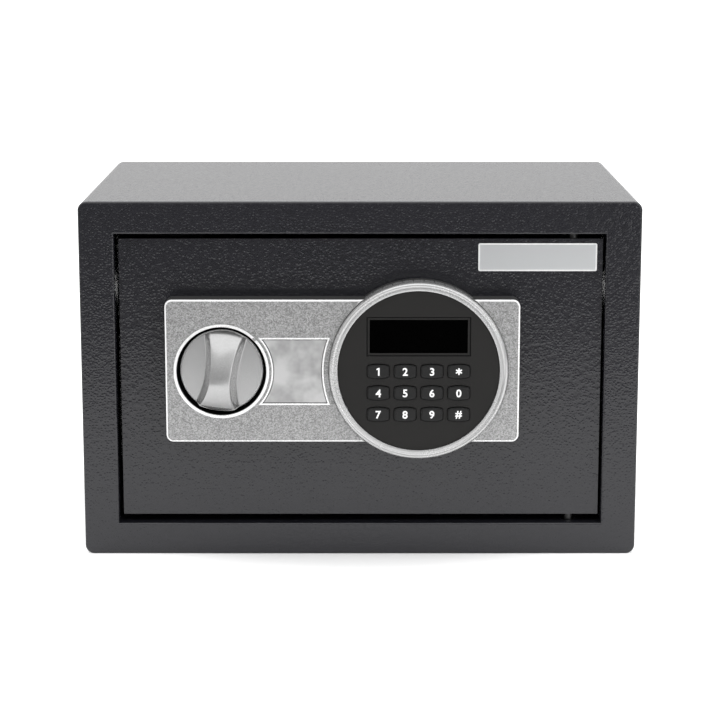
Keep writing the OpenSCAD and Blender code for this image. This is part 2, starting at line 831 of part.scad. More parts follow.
module override_cam() {
    color(steel) slab(lock_rear_y + 0.3, lock_rear_y + 1.8) union() {
        translate([lock_x, mid_z]) circle(6);
        translate([lock_x, mid_z - 3]) square([10, 6]);
        translate([lock_x + 10, mid_z]) circle(3);
    }
}

module lock_cover() {
    front = panel_d + 0.2;
    color(silver) union() {
        proud(pad_bed + 0.1, front) pad_outline(0);
        for (z = [-1, 1])
            translate([lock_x, face_y - pad_bed - 0.1 + 1, mid_z + clip_z * z]) cube([4.8, 2.2, 1.4], center = true);
    }
}

// ---- batteries, reset switch and wires ----

module at_battery_door() {
    translate([battery_x, battery_z]) children();
}
battery_zs = [for (i = [-1.5 : 1.5]) battery_z + i * battery_pitch];

module battery_tray() {
    color(black) difference() {
        union() {
            slab(casing_y - tray_d, cover_y + 0.1) at_battery_door() square([tray_w, tray_h], center = true);
            slab(cover_y, cover_y + 1.2) at_battery_door() round_rect(tray_w + 7, tray_h + 7, 3);
        }
        slab(casing_y - tray_d + 1.5, cover_y + 2) at_battery_door()
            square([tray_w - 3, tray_h - 3], center = true);
    }
}

module battery_contacts() {
    gap = (tray_w - 3 - battery_l) / 2;
    color(steel) for (i = [0 : 3]) {
        way = i % 2 == 0 ? 1 : -1;
        // flat plate at the cell's button end and a coil at its flat end
        translate([battery_x + way * (tray_w / 2 - 1.7), battery_y, battery_zs[i]])
            cube([0.4, 9, 9], center = true);
        for (turn = [0 : 2])
            translate([battery_x - way * (tray_w / 2 - 2.1 - turn * (gap - 1) / 2), battery_y, battery_zs[i]])
                rotate([0, 90, 0]) rotate_extrude() translate([3.5 - turn * 0.5, 0]) circle(0.4, $fn = 24);
    }
}

module batteries() {
    button = 1.2;
    color([0.12, 0.12, 0.13]) for (i = [0 : 3]) {
        way = i % 2 == 0 ? 1 : -1;
        translate([battery_x, battery_y, battery_zs[i]]) rotate([0, 90 * way, 0]) union() {
            translate([0, 0, -battery_l / 2]) cylinder(r = battery_r, h = battery_l - button);
            cylinder(r = 2.7, h = battery_l / 2);
        }
    }
}

module battery_lid() {
    grip_w = 22;
    color(black) union() {
        slab(cover_y + 1.3, cover_y + 3.1) at_battery_door() round_rect(tray_w + 3, tray_h + 3, 2);
        slab(casing_y - 0.2, cover_y + 1.4) at_battery_door() difference() {
            square([tray_w - 4, tray_h - 4], center = true);
            square([tray_w - 7, tray_h - 7], center = true);
        }
        for (i = [0 : 3])
            slab(cover_y + 3, cover_y + 3.7) at_battery_door() translate([-grip_w / 2, 18 + 2.6 * i])
                square([grip_w, 1.2]);
    }
}

module reset_switch() {
    bore = 3.3;
    color(black) difference() {
        union() {
            slab(casing_y - 12, casing_y - 2.5) translate([reset_x, reset_z]) square(12, center = true);
            bar_y(reset_x, reset_z, 5.5, casing_y - 3, casing_y);
        }
        bar_y(reset_x, reset_z, bore, casing_y - 9.5, casing_y + 1);
    }
}

module reset_button() {
    color([0.75, 0.08, 0.06]) bar_y(reset_x, reset_z, 3, casing_y - 7.5, cover_y + 1.2);
}

module wire_harness() {
    r = 1.2;
    start_y = face_y - board_rear + r;
    pass_y = plate_y + 1;
    run_y = plate_y + 4;
    low_z = keypad_z - 2;
    high_z = keypad_z + 3;
    tray_y = casing_y - tray_d;
    feed_z = mid_z - 20;
    switch_y = casing_y - 8;
    switch_x = reset_x - 6;
    color([0.5, 0.08, 0.06]) wire([
        [keypad_x - 2.5, start_y, low_z], [keypad_x - 3, pass_y, low_z], [keypad_x - 12, run_y, mid_z - 10],
        [lock_x + 36, run_y, mid_z - 40], [lock_x + 22, run_y, mid_z - 62], [lock_x + 7.2, solenoid_y, solenoid_z + 9]
    ], r, [1, 0, -1]);
    color([0.5, 0.08, 0.06]) wire([
        [keypad_x + 2.5, start_y, low_z], [keypad_x + 3, pass_y, low_z], [keypad_x + 9, run_y, mid_z - 12],
        [keypad_x + 12, tray_y - 5, feed_z], [keypad_x + 12, tray_y - 2.5, feed_z], [keypad_x + 12, tray_y, feed_z]
    ], r, [1, 0, 1]);
    color([0.5, 0.08, 0.06]) wire([
        [keypad_x, start_y, high_z], [keypad_x + 1, pass_y, high_z], [keypad_x + 12, run_y, mid_z + 9],
        [reset_x - 30, run_y + 6, reset_z + 2], [switch_x - 8, switch_y, reset_z], [switch_x - 4, switch_y, reset_z],
        [switch_x, switch_y, reset_z]
    ], r, [0, 0, 1]);
}

// ---- what is drawn ----

cabinet_shell();
front_frame();
rear_panel();
hinge_bush_lower();
hinge_bush_upper();
floor_mat();
door_plate();
door_casing();
door_back_cover();
cover_screws();
hinge_pin_lower();
hinge_pin_upper();
door_label();
panel_housing();
panel_screws();
keypad_ring();
keypad_face();
display_window();
display_module();
keypad_mat();
control_board();
buzzer();
spindle_bush();
override_lock_body();
override_lock_nut();
solenoid_frame();
solenoid_coil();
solenoid_spring();
guide_studs();
guide_washers();
battery_tray();
battery_contacts();
batteries();
reset_switch();
wire_harness();
knob();
knob_spindle();
drive_crank();
bolt_plate();
locking_bolt_upper();
locking_bolt_lower();
solenoid_plunger();
release_link();
override_plug();
override_cam();
lock_cover();
battery_lid();
reset_button();
key(0, 0);  // key_1
key(0, 1);  // key_2
key(0, 2);  // key_3
key(0, 3);  // key_star
key(1, 0);  // key_4
key(1, 1);  // key_5
key(1, 2);  // key_6
key(1, 3);  // key_0
key(2, 0);  // key_7
key(2, 1);  // key_8
key(2, 2);  // key_9
key(2, 3);  // key_hash
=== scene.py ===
"""Looks of a small electronic safe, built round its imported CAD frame.

Each sub-assembly is a class that dresses the CAD nodes of its bodies or builds the pieces that
stand for them. All sizes are in metres, in the frame of the CAD model: +X right, +Y to the rear, +Z up.
"""

import logging
import math
from collections.abc import Callable, Sequence
from dataclasses import dataclass, field
from enum import Enum

import bmesh
import bpy
from mathutils import Matrix, Vector


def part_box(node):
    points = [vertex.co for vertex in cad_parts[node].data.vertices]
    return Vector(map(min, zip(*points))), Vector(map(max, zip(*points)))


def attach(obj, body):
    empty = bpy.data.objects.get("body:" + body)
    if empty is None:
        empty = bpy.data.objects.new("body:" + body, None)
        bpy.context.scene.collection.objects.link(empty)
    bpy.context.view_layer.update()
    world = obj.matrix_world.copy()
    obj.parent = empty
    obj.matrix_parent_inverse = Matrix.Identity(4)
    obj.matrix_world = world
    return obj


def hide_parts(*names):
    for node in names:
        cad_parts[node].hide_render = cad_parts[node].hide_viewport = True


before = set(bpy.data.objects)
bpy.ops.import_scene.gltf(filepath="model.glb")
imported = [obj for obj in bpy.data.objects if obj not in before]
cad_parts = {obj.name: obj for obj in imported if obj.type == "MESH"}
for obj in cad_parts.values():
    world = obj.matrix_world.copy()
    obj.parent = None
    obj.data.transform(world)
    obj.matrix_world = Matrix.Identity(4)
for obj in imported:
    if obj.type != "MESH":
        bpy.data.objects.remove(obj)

LOG = logging.getLogger("safe")
MM = 0.001
MERGE = 1e-6
FLAT_ANGLE = math.radians(0.6)
SHARP_ANGLE = math.radians(30)
TINY = 0.02 * MM
ON_FACE = 0.05 * MM
GLOSS_PITCH = 28 * MM
# How squarely a face looks to the front, as the share of its normal that lies along -Y.
SIDEWAYS = 0.1
SQUARE_ON = 0.9
FLAT_ON = 0.995

Colour = tuple[float, float, float]


def grey(level: float, warm: float = 0.0) -> Colour:
    """Turns a screen grey into a linear colour.

    Args:
        level: Screen grey from 0 to 255.
        warm: Added to red and taken from blue, in the same units.

    Returns:
        The linear red, green and blue.
    """
    return screen(level + warm, level, level - warm)


def screen(red: float, green: float, blue: float) -> Colour:
    """Turns a screen colour into a linear one.

    Args:
        red: Screen red from 0 to 255.
        green: Screen green from 0 to 255.
        blue: Screen blue from 0 to 255.

    Returns:
        The linear red, green and blue.
    """
    def linear(value: float) -> float:
        """Undoes the screen's transfer curve for one channel."""
        share = max(value, 0.0) / 255
        return share / 12.92 if share <= 0.04045 else ((share + 0.055) / 1.055) ** 2.4

    return linear(red), linear(green), linear(blue)


# --- Shader groups ---


class Bench:
    """Adds and joins nodes in one node tree."""

    def __init__(self, tree: bpy.types.NodeTree) -> None:
        """Keeps the tree that nodes are added to."""
        self.tree = tree

    def add(self, kind: str, values: dict[str, object] | None = None, **settings: object) -> bpy.types.Node:
        """Adds one node.

        Args:
            kind: The node's Blender type.
            values: Socket values by input name.
            **settings: Node attributes.

        Returns:
            The new node.
        """
        node = self.tree.nodes.new(kind)
        for name, setting in settings.items():
            setattr(node, name, setting)
        for name, value in (values or {}).items():
            node.inputs[name].default_value = value
        return node

    def join(self, source: bpy.types.NodeSocket, target: bpy.types.NodeSocket) -> None:
        """Links an output to an input."""
        self.tree.links.new(source, target)

    def maths(self, operation: str, first: object, second: object = 0.0) -> bpy.types.NodeSocket:
        """Adds a Math node.

        Args:
            operation: The Math node's operation.
            first: A number or an output.
            second: A number or an output.

        Returns:
            The node's output.
        """
        node = self.add("ShaderNodeMath", operation=operation)
        for socket, value in zip(node.inputs, (first, second)):
            if isinstance(value, bpy.types.NodeSocket):
                self.join(value, socket)
            else:
                socket.default_value = value
        return node.outputs[0]

    def ramp(self, source: bpy.types.NodeSocket, low: float, high: float,
             to_low: float = 0.0, to_high: float = 1.0) -> bpy.types.NodeSocket:
        """Maps a range smoothly onto another.

        Args:
            source: The output to map.
            low: Start of the range read.
            high: End of the range read.
            to_low: What low becomes.
            to_high: What high becomes.

        Returns:
            The mapped output.
        """
        node = self.add("ShaderNodeMapRange", {"From Min": low, "From Max": high, "To Min": to_low,
                                               "To Max": to_high}, interpolation_type="SMOOTHSTEP")
        self.join(source, node.inputs["Value"])
        return node.outputs["Result"]

    def noise(self, place: bpy.types.NodeSocket, scale: float, detail: float = 2.0,
              roughness: float = 0.5) -> bpy.types.NodeSocket:
        """Adds a noise pattern.

        Args:
            place: The coordinates it reads.
            scale: Patches a metre.
            detail: Finer layers.
            roughness: Strength of the finer layers.

        Returns:
            The noise from 0 to 1.
        """
        node = self.add("ShaderNodeTexNoise", {"Scale": scale, "Detail": detail, "Roughness": roughness})
        self.join(place, node.inputs["Vector"])
        return node.outputs["Fac"]

    def stretched(self, stretch: Sequence[float]) -> bpy.types.NodeSocket:
        """Object coordinates with each axis multiplied.

        Args:
            stretch: Multiplier of x, y and z.

        Returns:
            The coordinates' output.
        """
        place = self.add("ShaderNodeTexCoord")
        mapping = self.add("ShaderNodeMapping")
        mapping.inputs["Scale"].default_value = tuple(stretch)
        self.join(place.outputs["Object"], mapping.inputs["Vector"])
        return mapping.outputs["Vector"]


class Effect(Enum):
    """Surface effects that several finishes share."""

    POWDER = "powder_texture"
    GRAIN = "fine_grain"
    BLOTCH = "soft_blotch"
    BRUSHED = "brushed_lines"
    NAP = "felt_nap"


class EffectShelf:
    """Builds each shared shader group once and hands it out."""

    _made: dict[Effect, bpy.types.NodeTree] = {}
    # The powder coat's bumps: where they fall away, in bumps, their height, and the swell that joins them.
    _dome_span = (0.05, 0.6)
    _dome_height = 0.8
    _swell_scale = 0.45
    _swell_span = (0.35, 0.65)
    _swell_height = 0.5

    @classmethod
    def take(cls, effect: Effect) -> bpy.types.NodeTree:
        """Gives the group of an effect, built on its first use.

        Args:
            effect: The effect wanted.

        Returns:
            Its shader node group.
        """
        if effect not in cls._made:
            cls._made[effect] = getattr(cls, "_" + effect.name.lower())()
        return cls._made[effect]

    @staticmethod
    def _start(effect: Effect, inputs: dict[str, float],
               outputs: Sequence[str]) -> tuple[Bench, bpy.types.NodeSocket, bpy.types.Node]:
        """Makes an empty group with its sockets.

        Args:
            effect: The effect that the group is for.
            inputs: Input names and their values.
            outputs: Output names.

        Returns:
            The bench, patterns a metre as the Pitch input sets them, and the group's output node.
        """
        tree = bpy.data.node_groups.new(effect.value, "ShaderNodeTree")
        for name, value in inputs.items():
            socket = tree.interface.new_socket(name, in_out="INPUT", socket_type="NodeSocketFloat")
            socket.default_value = value
        for name in outputs:
            tree.interface.new_socket(name, in_out="OUTPUT", socket_type="NodeSocketFloat")
        bench = Bench(tree)
        given = bench.add("NodeGroupInput")
        return bench, bench.maths("DIVIDE", 1.0, given.outputs["Pitch"]), bench.add("NodeGroupOutput")

    @classmethod
    def _powder(cls) -> bpy.types.NodeTree:
        """Textured powder coat: close rounded bumps that run together here and there."""
        bench, scale, result = cls._start(Effect.POWDER, {"Pitch": 1.4 * MM}, ["Height", "Tone"])
        place = bench.add("ShaderNodeTexCoord").outputs["Object"]
        cells = bench.add("ShaderNodeTexVoronoi", {"Smoothness": 0.35, "Randomness": 0.85},
                          feature="SMOOTH_F1")
        bench.join(place, cells.inputs["Vector"])
        bench.join(scale, cells.inputs["Scale"])
        domes = bench.ramp(cells.outputs["Distance"], *cls._dome_span, 1.0, 0.0)
        raised = bench.maths("MULTIPLY", domes, cls._dome_height)
        broad = bench.noise(place, 1.0, 1.5, 0.45)
        bench.join(bench.maths("MULTIPLY", scale, cls._swell_scale), broad.node.inputs["Scale"])
        swell = bench.maths("MULTIPLY", bench.ramp(broad, *cls._swell_span), cls._swell_height)
        bench.join(bench.maths("ADD", raised, swell), result.inputs["Height"])
        bench.join(broad, result.inputs["Tone"])
        return bench.tree

    @classmethod
    def _grain(cls) -> bpy.types.NodeTree:
        """Fine grain of metal flake in lacquer, or of a spark-eroded mould."""
        bench, scale, result = cls._start(Effect.GRAIN, {"Pitch": 0.4 * MM}, ["Grain", "Flake"])
        place = bench.add("ShaderNodeTexCoord").outputs["Object"]
        grain = bench.add("ShaderNodeTexNoise", {"Detail": 2.0, "Roughness": 0.6})
        bench.join(place, grain.inputs["Vector"])
        bench.join(scale, grain.inputs["Scale"])
        flake = bench.add("ShaderNodeTexVoronoi", feature="F1")
        bench.join(place, flake.inputs["Vector"])
        bench.join(bench.maths("MULTIPLY", scale, 1.3), flake.inputs["Scale"])
        split = bench.add("ShaderNodeSeparateColor")
        bench.join(flake.outputs["Color"], split.inputs["Color"])
        bench.join(bench.ramp(grain.outputs["Fac"], 0.25, 0.75), result.inputs["Grain"])
        bench.join(split.outputs["Red"], result.inputs["Flake"])
        return bench.tree

    @classmethod
    def _blotch(cls) -> bpy.types.NodeTree:
        """Broad soft patches, for uneven gloss and handled areas."""
        bench, scale, result = cls._start(Effect.BLOTCH, {"Pitch": 25 * MM}, ["Patch"])
        place = bench.add("ShaderNodeTexCoord").outputs["Object"]
        patch = bench.add("ShaderNodeTexNoise", {"Detail": 3.0, "Roughness": 0.55})
        bench.join(place, patch.inputs["Vector"])
        bench.join(scale, patch.inputs["Scale"])
        bench.join(bench.ramp(patch.outputs["Fac"], 0.3, 0.7), result.inputs["Patch"])
        return bench.tree

    @classmethod
    def _brushed(cls) -> bpy.types.NodeTree:
        """Lines along X, as drawing and brushing leave on metal."""
        bench, scale, result = cls._start(Effect.BRUSHED, {"Pitch": 0.3 * MM}, ["Line"])
        place = bench.stretched((0.03, 1.0, 1.0))
        line = bench.add("ShaderNodeTexNoise", {"Detail": 3.0, "Roughness": 0.65})
        bench.join(place, line.inputs["Vector"])
        bench.join(scale, line.inputs["Scale"])
        bench.join(bench.ramp(line.outputs["Fac"], 0.25, 0.75), result.inputs["Line"])
        return bench.tree

    @classmethod
    def _nap(cls) -> bpy.types.NodeTree:
        """Short tangled fibres of pressed felt."""
        bench, scale, result = cls._start(Effect.NAP, {"Pitch": 0.6 * MM}, ["Fibre"])
        layers = []
        for stretch in ((0.25, 1.0, 1.0), (1.0, 0.25, 1.0), (0.7, 0.7, 0.4)):
            layer = bench.add("ShaderNodeTexNoise", {"Detail": 2.0, "Distortion": 1.5})
            bench.join(bench.stretched(stretch), layer.inputs["Vector"])
            bench.join(scale, layer.inputs["Scale"])
            layers.append(layer.outputs["Fac"])
        tangle = bench.maths("MAXIMUM", layers[0], bench.maths("MAXIMUM", layers[1], layers[2]))
        bench.join(bench.ramp(tangle, 0.42, 0.78), result.inputs["Fibre"])
        return bench.tree


# --- Finishes ---


@dataclass(frozen=True)
class Finish:
    """A material: what its two tones, gloss and relief are, and which shared effect shapes them.

    Attributes:
        name: Material name.
        dark: Colour where the effect is low.
        light: Colour where the effect is high.
        rough: Roughness where the effect is low and high.
        metallic: Share of metal.
        effect: The shared effect.
        output: Which of the effect's masks mixes the colours.
        relief: Which of the effect's masks is the height.
        pitch: Size of the effect's pattern.
        depth: Height of the relief; 0 leaves the surface smooth.
        patch: Strength of broad uneven gloss.
        coat: Weight of a clear coat.
        coat_rough: Roughness of that coat.
        specular: Specular level.
        sheen: Sheen weight.
    """

    name: str
    dark: Colour
    light: Colour
    rough: tuple[float, float] = (0.4, 0.5)
    metallic: float = 0.0
    effect: Effect = Effect.GRAIN
    output: str = "Grain"
    relief: str = "Grain"
    pitch: float = 0.4 * MM
    depth: float = 0.0
    patch: float = 0.06
    coat: float = 0.0
    coat_rough: float = 0.1
    specular: float = 0.5
    sheen: float = 0.0

    def material(self) -> bpy.types.Material:
        """Gives the Blender material, built on its first use.

        Returns:
            The material.
        """
        found = bpy.data.materials.get(self.name)
        if found:
            return found
        made = bpy.data.materials.new(self.name)
        made.use_nodes = True
        made.node_tree.nodes.clear()
        bench = Bench(made.node_tree)
        shader = bench.add("ShaderNodeBsdfPrincipled", {
            "Metallic": self.metallic, "Coat Weight": self.coat, "Coat Roughness": self.coat_rough,
            "Specular IOR Level": self.specular, "Sheen Weight": self.sheen})
        bench.join(shader.outputs["BSDF"], bench.add("ShaderNodeOutputMaterial").inputs["Surface"])
        pattern = bench.add("ShaderNodeGroup")
        pattern.node_tree = EffectShelf.take(self.effect)
        pattern.inputs["Pitch"].default_value = self.pitch
        self._colour(bench, shader, pattern)
        self._gloss(bench, shader, pattern)
        if self.depth:
            bump = bench.add("ShaderNodeBump", {"Strength": 1.0, "Distance": self.depth})
            bench.join(pattern.outputs[self.relief], bump.inputs["Height"])
            bench.join(bump.outputs["Normal"], shader.inputs["Normal"])
        return made

    def _colour(self, bench: Bench, shader: bpy.types.Node, pattern: bpy.types.Node) -> None:
        """Mixes the two tones by the effect's mask.

        Args:
            bench: Where nodes are added.
            shader: The shader that takes the colour.
            pattern: The effect's group node.
        """
        mix = bench.add("ShaderNodeMix", data_type="RGBA")
        mix.inputs["A"].default_value = (*self.dark, 1)
        mix.inputs["B"].default_value = (*self.light, 1)
        bench.join(pattern.outputs[self.output], mix.inputs["Factor"])
        bench.join(mix.outputs["Result"], shader.inputs["Base Color"])

    def _gloss(self, bench: Bench, shader: bpy.types.Node, pattern: bpy.types.Node) -> None:
        """Varies roughness by the effect and by broad patches.

        Args:
            bench: Where nodes are added.
            shader: The shader that takes the roughness.
            pattern: The effect's group node.
        """
        blotch = bench.add("ShaderNodeGroup")
        blotch.node_tree = EffectShelf.take(Effect.BLOTCH)
        blotch.inputs["Pitch"].default_value = GLOSS_PITCH
        low, high = self.rough
        varied = bench.ramp(pattern.outputs[self.output], 0.0, 1.0, low, high)
        uneven = bench.maths("MULTIPLY", bench.maths("SUBTRACT", blotch.outputs["Patch"], 0.5), self.patch)
        bench.join(bench.maths("ADD", varied, uneven), shader.inputs["Roughness"])


CABINET_PAINT = Finish("textured_cabinet_paint", screen(21, 21, 25), screen(29, 29, 34), (0.2, 0.25),
                       effect=Effect.POWDER, output="Tone", relief="Height", pitch=1.5 * MM,
                       depth=0.09 * MM, patch=0.0)
DOOR_PAINT = Finish("textured_door_paint", screen(21, 21, 25), screen(28, 28, 33), (0.2, 0.25),
                    effect=Effect.POWDER, output="Tone", relief="Height", pitch=1.5 * MM,
                    depth=0.09 * MM, patch=0.0)
PANEL_SILVER = Finish("silver_lacquer", grey(112), grey(170), (0.36, 0.48), metallic=0.5, output="Flake",
                      pitch=0.68 * MM, depth=0.03 * MM, coat=0.2, coat_rough=0.25, patch=0.03)
COVER_SILVER = Finish("cover_lacquer", grey(140), grey(184), (0.34, 0.44), metallic=0.5, effect=Effect.BLOTCH,
                      output="Patch", relief="Patch", pitch=16 * MM, depth=0.05 * MM, coat=0.2)
# Near-white copy of the silver for beads, lips and rounded edges: painted highlight.
PAINTED_HIGHLIGHT = Finish("painted_highlight_rim", grey(228), grey(244), (0.2, 0.28), metallic=0.25, pitch=0.8 * MM,
                    coat=0.4)
RING_SILVER = Finish("bright_ring", grey(176), grey(184), (0.22, 0.28), metallic=0.6, pitch=0.5 * MM,
                     depth=0.001 * MM, coat=0.4)
# Dark grey for the housing's sides: painted shade.
PAINTED_SIDE_SHADE = Finish("painted_side_shade", grey(44), grey(60), (0.5, 0.6), pitch=0.6 * MM, specular=0.3)
KNOB_SILVER = Finish("satin_silver", grey(154), grey(174), (0.22, 0.26), metallic=0.65, pitch=0.5 * MM,
                     depth=0.003 * MM, coat=0.4, coat_rough=0.12, patch=0.02)
KEYPAD_BLACK = Finish("matt_black_face", grey(17, 1), grey(23, 1), (0.5, 0.6), pitch=0.3 * MM,
                      depth=0.02 * MM, specular=0.25)
KEY_BLACK = Finish("black_key", grey(10), grey(15), (0.36, 0.44), pitch=0.25 * MM, depth=0.015 * MM,
                   specular=0.3)
LEGEND_WHITE = Finish("printed_white", grey(236), grey(244), (0.45, 0.5), pitch=0.2 * MM)
DISPLAY_BLACK = Finish("display_lens", grey(1), grey(3), (0.2, 0.25), pitch=0.6 * MM, specular=0.0,
                       patch=0.02)
BLACK_PLASTIC = Finish("moulded_black", grey(28), grey(38), (0.42, 0.52), pitch=0.35 * MM, depth=0.02 * MM)
LABEL_FOIL = Finish("label_foil", grey(238), grey(248), (0.36, 0.46), metallic=0.1, effect=Effect.BLOTCH,
                    output="Patch", relief="Patch", pitch=7 * MM, depth=0.12 * MM)
LABEL_RIM = Finish("label_rim", grey(224), grey(236), (0.3, 0.36), metallic=0.2, pitch=0.4 * MM)
# Near-black for the deep knob well and the key wells: painted shade where shade falls in those recesses.
PAINTED_WELL_SHADE = Finish("painted_well_shade", grey(5), grey(9), (0.5, 0.6), pitch=0.35 * MM, specular=0.1)
# Dark steel for the hinge bushes and pins: partly their own dark tone, partly painted shade for the hinge
# gaps they sit in.
DARK_HINGE_STEEL = Finish("dark_steel_and_gap_shade", grey(58), grey(84), (0.34, 0.46), metallic=0.9, effect=Effect.BRUSHED,
               output="Line", relief="Line", pitch=0.3 * MM, depth=0.003 * MM)
ZINC = Finish("zinc_plate", screen(150, 152, 150), screen(196, 198, 194), (0.28, 0.42), metallic=1.0,
              pitch=1.1 * MM, depth=0.006 * MM)
BRIGHT = Finish("bright_steel", grey(188), grey(210), (0.16, 0.28), metallic=1.0, effect=Effect.BRUSHED,
                output="Line", relief="Line", pitch=0.3 * MM, depth=0.003 * MM)
BRASS = Finish("brass", screen(178, 140, 70), screen(206, 170, 96), (0.22, 0.34), metallic=1.0,
               effect=Effect.BRUSHED, output="Line", relief="Line", pitch=0.3 * MM, depth=0.003 * MM)
FELT = Finish("grey_felt", screen(44, 45, 48), screen(82, 83, 88), (0.85, 0.95), effect=Effect.NAP,
              output="Fibre", relief="Fibre", pitch=0.7 * MM, depth=0.25 * MM, sheen=0.3, specular=0.2)
COIL_TAPE = Finish("coil_tape", screen(168, 132, 40), screen(196, 158, 58), (0.35, 0.45),
                   effect=Effect.BRUSHED, output="Line", relief="Line", pitch=0.5 * MM, depth=0.01 * MM)
BOARD_GREEN = Finish("board_green", screen(18, 70, 42), screen(34, 96, 60), (0.3, 0.42), pitch=1.2 * MM,
                     depth=0.01 * MM, coat=0.3)
RUBBER = Finish("grey_rubber", grey(70), grey(84), (0.6, 0.7), pitch=0.4 * MM, depth=0.01 * MM)
CELL_WRAP = Finish("cell_wrap", screen(28, 62, 120), screen(40, 80, 150), (0.25, 0.32), pitch=2.0 * MM,
                   metallic=0.3, coat=0.4)
BUTTON_RED = Finish("button_red", screen(150, 22, 22), screen(176, 34, 30), (0.35, 0.42), pitch=0.3 * MM,
                    depth=0.01 * MM)
SLEEVE = Finish("wire_sleeve", screen(120, 20, 20), screen(150, 32, 30), (0.4, 0.5), pitch=0.5 * MM)


# --- Workshop: what every sub-assembly uses to make a piece ---


class Body(Enum):
    """Bodies of the CAD model that pieces ride on."""

    CABINET = "cabinet"
    DOOR = "door"
    KNOB = "knob"
    BOLTS = "bolt_carriage"
    PLUNGER = "plunger"
    LOCK_PLUG = "lock_plug"
    LOCK_COVER = "lock_cover"
    BATTERY_LID = "battery_lid"
    RESET = "reset_button"


@dataclass(frozen=True)
class Rounding:
    """How far a piece's edges are rounded.

    Attributes:
        width: Width of the rounding.
        steps: Segments across it.
        where: Test on an edge's middle; None takes every sharp edge.
        clamped: Whether short neighbouring edges may narrow it.
    """

    width: float
    steps: int = 2
    where: Callable[[Vector], bool] | None = None
    clamped: bool = True


FINE = Rounding(0.2 * MM)
SOFT = Rounding(0.4 * MM, 3)


class Workshop:
    """Makes, dresses and mounts pieces, and counts them."""

    count: int = 0

    @classmethod
    def mount(cls, piece: bpy.types.Object, finish: Finish, body: str, slot: str,
              nodes: Sequence[str] = ()) -> bpy.types.Object:
        """Dresses a finished piece and puts it on its body.

        Args:
            piece: The piece.
            finish: Its finish.
            body: The CAD body it rides on.
            slot: The record's material slot; not used.
            nodes: The CAD nodes it stands for.

        Returns:
            The piece.
        """
        piece.data.materials.append(finish.material())
        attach(piece, body)
        if nodes:
            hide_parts(*nodes)
        cls.count += 1
        LOG.info("%s: %d faces on %s, %s", piece.name, len(piece.data.polygons), body, finish.name)
        return piece

    @staticmethod
    def piece(name: str, shape: bmesh.types.BMesh, smooth: float = 40.0) -> bpy.types.Object:
        """Turns a bmesh into an object at the origin.

        Args:
            name: The piece's name.
            shape: The bmesh, which is freed.
            smooth: Edges flatter than this many degrees are shaded smooth.

        Returns:
            The object, linked into the scene.
        """
        for face in shape.faces:
            face.smooth = True
        for edge in shape.edges:
            edge.smooth = len(edge.link_faces) == 2 and edge.calc_face_angle(0.0) < math.radians(smooth)
        mesh = bpy.data.meshes.new(name)
        shape.to_mesh(mesh)
        shape.free()
        made = bpy.data.objects.new(name, mesh)
        bpy.context.scene.collection.objects.link(made)
        weighting = made.modifiers.new("flat_faces", "WEIGHTED_NORMAL")
        weighting.keep_sharp = True
        return made

    @staticmethod
    def copy_of(node: str) -> bmesh.types.BMesh:
        """Copies a CAD node's mesh, merged into whole flat faces.

        Args:
            node: The CAD node.

        Returns:
            The merged copy.
        """
        shape = bmesh.new()
        shape.from_mesh(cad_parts[node].data)
        bmesh.ops.remove_doubles(shape, verts=shape.verts, dist=MERGE)
        bmesh.ops.dissolve_limit(shape, angle_limit=FLAT_ANGLE, verts=shape.verts, edges=shape.edges)
        return shape

    @staticmethod
    def round_edges(shape: bmesh.types.BMesh, rounding: Rounding) -> None:
        """Rounds a shape's sharp outward edges.

        Args:
            shape: The shape, changed in place.
            rounding: How far, and where.
        """
        chosen = [
            edge for edge in shape.edges
            if len(edge.link_faces) == 2 and edge.calc_face_angle(0.0) > SHARP_ANGLE
            and (rounding.where is None or rounding.where((edge.verts[0].co + edge.verts[1].co) / 2))
        ]
        if chosen:
            bmesh.ops.bevel(shape, geom=chosen, offset=rounding.width, segments=rounding.steps, profile=0.5,
                            affect="EDGES", clamp_overlap=rounding.clamped, material=-1)

    @classmethod
    def soften(cls, node: str, finish: Finish, body: str, slot: str,
               roundings: Sequence[Rounding] = (FINE,)) -> bpy.types.Object:
        """Stands a softened copy in for a CAD node.

        Args:
            node: The CAD node.
            finish: The finish.
            body: The CAD body.
            slot: The record's material slot.
            roundings: Roundings, made in this order.

        Returns:
            The new piece.
        """
        shape = cls.copy_of(node)
        for rounding in roundings:
            cls.round_edges(shape, rounding)
        return cls.mount(cls.piece(node + "_body", shape), finish, body, slot, [node])

    @classmethod
    def keep(cls, node: str, finish: Finish) -> bpy.types.Object:
        """Leaves a CAD node in place and gives it a finish.

        Args:
            node: The CAD node.
            finish: The finish.

        Returns:
            The node's object.
        """
        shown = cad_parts[node]
        shown.data.materials.clear()
        shown.data.materials.append(finish.material())
        cls.count += 1
        LOG.info("%s: kept as it is, %s", node, finish.name)
        return shown


# --- Sub-assemblies ---


@dataclass
class Cabinet:
    """The welded cabinet: wrapped shell, folded front frame, rear panel, hinge bushes and felt mat."""

    front_bend: float = 1.1 * MM
    rim: float = 0.3 * MM
    mat_size: tuple[float, float] = (298 * MM, 175 * MM)

    def build(self) -> None:
        """Dresses the cabinet's pieces."""
        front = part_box("front_frame")[0].y
        body = Body.CABINET.value
        bends = Rounding(self.front_bend, 4, lambda middle: middle.y < front + ON_FACE)
        Workshop.soften("front_frame", CABINET_PAINT, body, "cabinet_paint", (bends, Rounding(self.rim)))
        Workshop.soften("cabinet_shell", CABINET_PAINT, body, "cabinet_paint", (Rounding(self.rim),))
        Workshop.soften("rear_panel", CABINET_PAINT, body, "cabinet_paint", (SOFT,))
        for node in ("hinge_bush_lower", "hinge_bush_upper"):
            Workshop.soften(node, DARK_HINGE_STEEL, body, "bright_steel")
        mat = Workshop.soften("floor_mat", FELT, body, "felt", (SOFT,))


